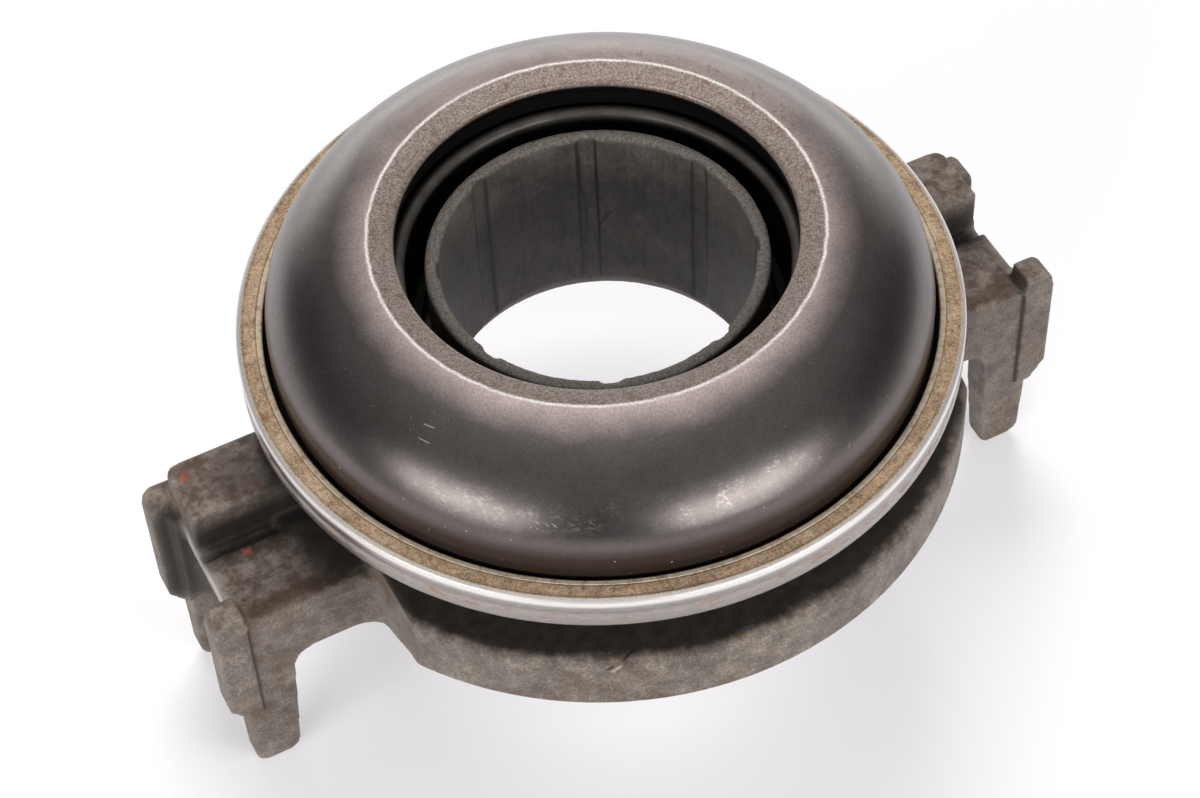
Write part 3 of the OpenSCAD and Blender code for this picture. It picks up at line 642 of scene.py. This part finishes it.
# Contact ring: domed crown over the ball track
blend_angle = math.degrees(math.atan2(BLEND[1] - CROWN[1], BLEND[0] - CROWN[0]))
crest_angle = math.degrees(math.acos((LINE_R - CROWN[0]) / CROWN_R))
inner_hole_angle = math.degrees(math.acos((HOLE_R - CROWN[0]) / (CROWN_R - SHEET)))
dome_outline = (
    [(DOME_R - SHEET, DOME_LOW, 0.3), (DOME_R, DOME_LOW, 0.4)]
    + arc(BLEND, BLEND_R, 0, blend_angle, 14)
    + arc(CROWN, CROWN_R, blend_angle, crest_angle, 40)[1:-1]
    + [(LINE_R, LINE_TOP, 0.5), (HOLE_R, HOLE_TOP, 0.45), (HOLE_R, HOLE_LOW, 0.2)]
    + arc(CROWN, CROWN_R - SHEET, inner_hole_angle, blend_angle, 30)[1:-1]
    + arc(BLEND, BLEND_R - SHEET, blend_angle, 0, 10)
)
dome = turn("contact_dome", eased(dome_outline), 256)
fit(dome, "contact", dome_steel, "contact_ring")

# Cover ring: flat stained face, rolled corner, creased side, edge turned in under the base
wall_in = COVER_R - COVER_SHEET
score_low = FACE - SCORE_DEPTH
cover_outline = [
    (COVER_HOLE_R, -COVER_SHEET, 0.1), (COVER_HOLE_R, FACE, 0.18),
    (SCORE_R - 0.11, FACE), (SCORE_R - 0.05, score_low),
    (SCORE_R + 0.05, score_low), (SCORE_R + 0.11, FACE),
    (COVER_R - 0.8, FACE, 0.3), (COVER_R - 0.55, 0, 0.25), (COVER_R, 0, 0.5),
    (COVER_R, CREASE + 0.6, 0.4), (COVER_R - CREASE_DEPTH, CREASE, 0.8), (COVER_R, CREASE - 0.6, 0.4),
    (COVER_R, COVER_LOW, 0.5), (CRIMP_R, COVER_LOW, 0.15), (CRIMP_R, CRIMP_TOP, 0.1),
    (wall_in, CRIMP_TOP, 0.1), (wall_in, -COVER_SHEET, 0.2),
]
cover = turn("cover_shroud", eased(cover_outline), 256)
fit(cover, "bearing", cover_steel, "cover_ring")

# Inner ring: base, tube with a rolled end, shoulder with the ball track
inner_outline = (
    [(BASE_IN_R, BASE_LOW, 0.2), (BASE_IN_R, BASE_TOP, 0.2), (RING_IN_R, BASE_TOP, 0.3)]
    + [(RING_IN_R, RING_TOP, 0.7), (RING_OUT_R, RING_TOP, 0.7), (RING_OUT_R, TRACK_TOP, 0.2)]
    + arc(BALL, TRACK_R, 194.5, 271, 16)
    + [(TRACK_OUT_R, BASE_TOP, 0.3), (BASE_OUT_R, BASE_TOP, 0.2), (BASE_OUT_R, BASE_LOW, 0.3)]
)
inner = turn("standing_ring", eased(inner_outline), 192)
fit(inner, "bearing", ring_steel, "inner_ring")

# Carrier: the moulding with softened edges
SKIN_STEP = 0.25
bpy.ops.object.select_all(action="DESELECT")
carrier = bpy.data.objects.new("carrier_moulding", nodes["carrier_sleeve"].data.copy())
bpy.context.collection.objects.link(carrier)
bpy.context.view_layer.objects.active = carrier
carrier.select_set(True)
bpy.ops.object.mode_set(mode="EDIT")
bpy.ops.mesh.select_all(action="SELECT")
bpy.ops.mesh.remove_doubles(threshold=0.001 * MM)
bpy.ops.object.mode_set(mode="OBJECT")
remesh = carrier.modifiers.new("fine_skin", "REMESH")
remesh.mode = "VOXEL"
remesh.voxel_size = SKIN_STEP * MM
bpy.ops.object.modifier_apply(modifier="fine_skin")

# The round walls come as flats, so points near one that face along its radius go out to the true radius
ROUND_WALLS = (BORE_R, TUBE_R, BOSS_R, SEAT_R, SKIRT_IN_R, FLANGE_R)
NEAR = 0.12
FACING = 0.97
for v, n in zip(carrier.data.vertices, carrier.data.vertex_normals):
    out = Vector((v.co.x, v.co.y, 0))
    far = out.length / MM
    wall = min(ROUND_WALLS, key=lambda r: abs(r - far))
    if abs(wall - far) < NEAR and abs(n.vector.dot(out.normalized())) > FACING:
        v.co.x *= wall / far
        v.co.y *= wall / far
soften = carrier.modifiers.new("soft_edges", "SMOOTH")
soften.factor = 0.5
soften.iterations = 5
bpy.ops.object.modifier_apply(modifier="soft_edges")
thin = carrier.modifiers.new("thin", "DECIMATE")
thin.ratio = 0.25
bpy.ops.object.modifier_apply(modifier="thin")

# Its skin stays inside the box of the CAD piece
low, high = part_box("carrier_sleeve")
for v in carrier.data.vertices:
    v.co = [min(max(v.co[i], low[i]), high[i]) for i in range(3)]
bpy.ops.object.shade_smooth()
fit(carrier, "carrier", carrier_nylon, "carrier_sleeve")

# Inner pieces keep their CAD shapes
inner_finishes = {name: ball_steel for name in nodes if name.startswith("ball_")}
inner_finishes["ball_cage"] = cage_nylon
inner_finishes["centring_spring"] = spring_steel
inner_finishes["front_seal"] = seal_rubber
inner_finishes["rear_seal"] = seal_rubber
for name, finish in inner_finishes.items():
    nodes[name].data.materials.clear()
    nodes[name].data.materials.append(finish)

# Studio floor: white paper that glows a little to the camera and in reflections, so its shadows stay pale
FLOOR_SIZE = 0.6
FLOOR_GLOW = 0.3
bpy.ops.object.select_all(action="DESELECT")
bpy.ops.mesh.primitive_plane_add(size=FLOOR_SIZE)
floor = bpy.context.object
floor.name = "studio_floor"
floor_paper = bpy.data.materials.new("white_paper")
floor_paper.use_nodes = True
t = floor_paper.node_tree
t.nodes.clear()
ray = add(t, "LightPath")
seen = add(t, "Math", {0: ray.outputs["Is Camera Ray"], 1: ray.outputs["Is Glossy Ray"]}, operation="ADD")
seen = add(t, "Math", {0: seen, 1: ray.outputs["Is Transmission Ray"]}, operation="ADD", use_clamp=True)
glow_share = add(t, "Math", {0: seen, 1: FLOOR_GLOW}, operation="MULTIPLY")
paper = add(t, "BsdfDiffuse", {"Color": colour("#f7f4f8")})
glow = add(t, "Emission", {"Color": (1, 1, 1, 1), "Strength": 1.0})
both = add(t, "MixShader", {0: glow_share, 1: paper, 2: glow})
add(t, "OutputMaterial", {"Surface": both})
floor.data.materials.append(floor_paper)

# Surround: white to the camera. Reflections see a bright backdrop low behind, dark walls beside, and a
# ceiling that brightens towards the back
AMBIENT = 0.22
world = bpy.data.worlds.new("studio_surround")
bpy.context.scene.world = world
world.use_nodes = True
t = world.node_tree
t.nodes.clear()
ray = add(t, "LightPath")
sky = add(t, "TexCoord").outputs["Generated"]
_, rise, around = polar(t, sky)
ceiling = add(t, "MapRange", {"Value": rise, "From Min": 0.3, "From Max": 0.95})
tone = add(t, "Mix", {"Factor": ceiling, "A": (0.05, 0.05, 0.055, 1), "B": (0.48, 0.48, 0.49, 1)},
           data_type="RGBA")
above = add(t, "VectorMath", {0: sky, 1: (0.07, 0.2, 0.98)}, operation="DOT_PRODUCT")
above = add(t, "MapRange", {"Value": above, "From Min": 0.87, "From Max": 0.99})
tone = add(t, "Mix", {"Factor": above, "A": tone, "B": (1, 1, 1, 1)}, data_type="RGBA")
behind = add(t, "VectorMath", {0: around, 1: bearing(65)}, operation="DOT_PRODUCT")
behind = add(t, "MapRange", {"Value": behind, "From Min": 0.62, "From Max": 0.9})
lower = add(t, "MapRange", {"Value": rise, "From Min": 0.7, "From Max": 0.45})
behind = add(t, "Math", {0: behind, 1: lower}, operation="MULTIPLY")
backdrop = add(t, "MapRange", {"Value": rise, "From Min": 0.36, "From Max": 0.0,
                               "To Min": 0.4, "To Max": 2.5})
tone = add(t, "Mix", {"Factor": behind, "A": tone, "B": backdrop}, data_type="RGBA")
tone = add(t, "Mix", {"Factor": ray.outputs["Is Camera Ray"], "A": tone, "B": (1, 1, 1, 1)},
           data_type="RGBA")
seen = add(t, "Math", {0: ray.outputs["Is Camera Ray"], 1: ray.outputs["Is Glossy Ray"]}, operation="ADD")
seen = add(t, "Math", {0: seen, 1: ray.outputs["Is Transmission Ray"]}, operation="ADD", use_clamp=True)
ambient = add(t, "Background", {"Color": (1, 1, 1, 1), "Strength": AMBIENT})
shown = add(t, "Background", {"Color": tone, "Strength": 1.0})
both = add(t, "MixShader", {0: seen, 1: ambient, 2: shown})
add(t, "OutputWorld", {"Surface": both})


# The lamps face a point on the bore axis, inside the part
LAMP_AIM = Vector((0, 0, 0.03))


def soft_box(name, azimuth, elevation, distance, size, watts, mirrored):
    """A soft box that faces the part, at a bearing round it in degrees, seen or not seen in reflections."""
    a, e = math.radians(azimuth), math.radians(elevation)
    data = bpy.data.lights.new(name, "AREA")
    data.shape = "RECTANGLE"
    data.size, data.size_y = size
    data.energy = watts
    lamp = bpy.data.objects.new(name, data)
    out = Vector((math.cos(e) * math.cos(a), math.cos(e) * math.sin(a), math.sin(e)))
    lamp.location = out * distance + LAMP_AIM
    lamp.rotation_euler = out.to_track_quat("Z", "Y").to_euler()
    lamp.visible_glossy = mirrored
    bpy.context.scene.collection.objects.link(lamp)


soft_box("left_box", 202, 16, 0.6, (0.4, 0.13), 0.95, True)
soft_box("right_box", 284, 15, 0.6, (0.44, 0.14), 1.3, True)
soft_box("left_fill", 210, 11, 0.7, (0.5, 0.2), 4.4, False)
soft_box("right_fill", 310, 11, 0.7, (0.5, 0.2), 3.3, False)
soft_box("top_fill", 72, 52, 0.8, (0.5, 0.5), 5.2, False)

# Camera at the photograph's angle
EYE = Vector((-82.97, -178.87, RIM + 233.53)) * MM
RIGHT = Vector((0.88959, -0.45557, -0.03284))
UP = Vector((0.37583, 0.68922, 0.61946))
AHEAD = Vector((0.25958, 0.56341, -0.78434))
lens = bpy.data.cameras.new("photo_camera")
lens.sensor_width = 36
lens.lens = 91.7
lens.clip_start = 0.01
camera = bpy.data.objects.new("photo_camera", lens)
camera.matrix_world = Matrix.Translation(EYE) @ Matrix((RIGHT, UP, -AHEAD)).transposed().to_4x4()
bpy.context.scene.collection.objects.link(camera)
bpy.context.scene.camera = camera
bpy.context.scene.view_settings.view_transform = "Standard"
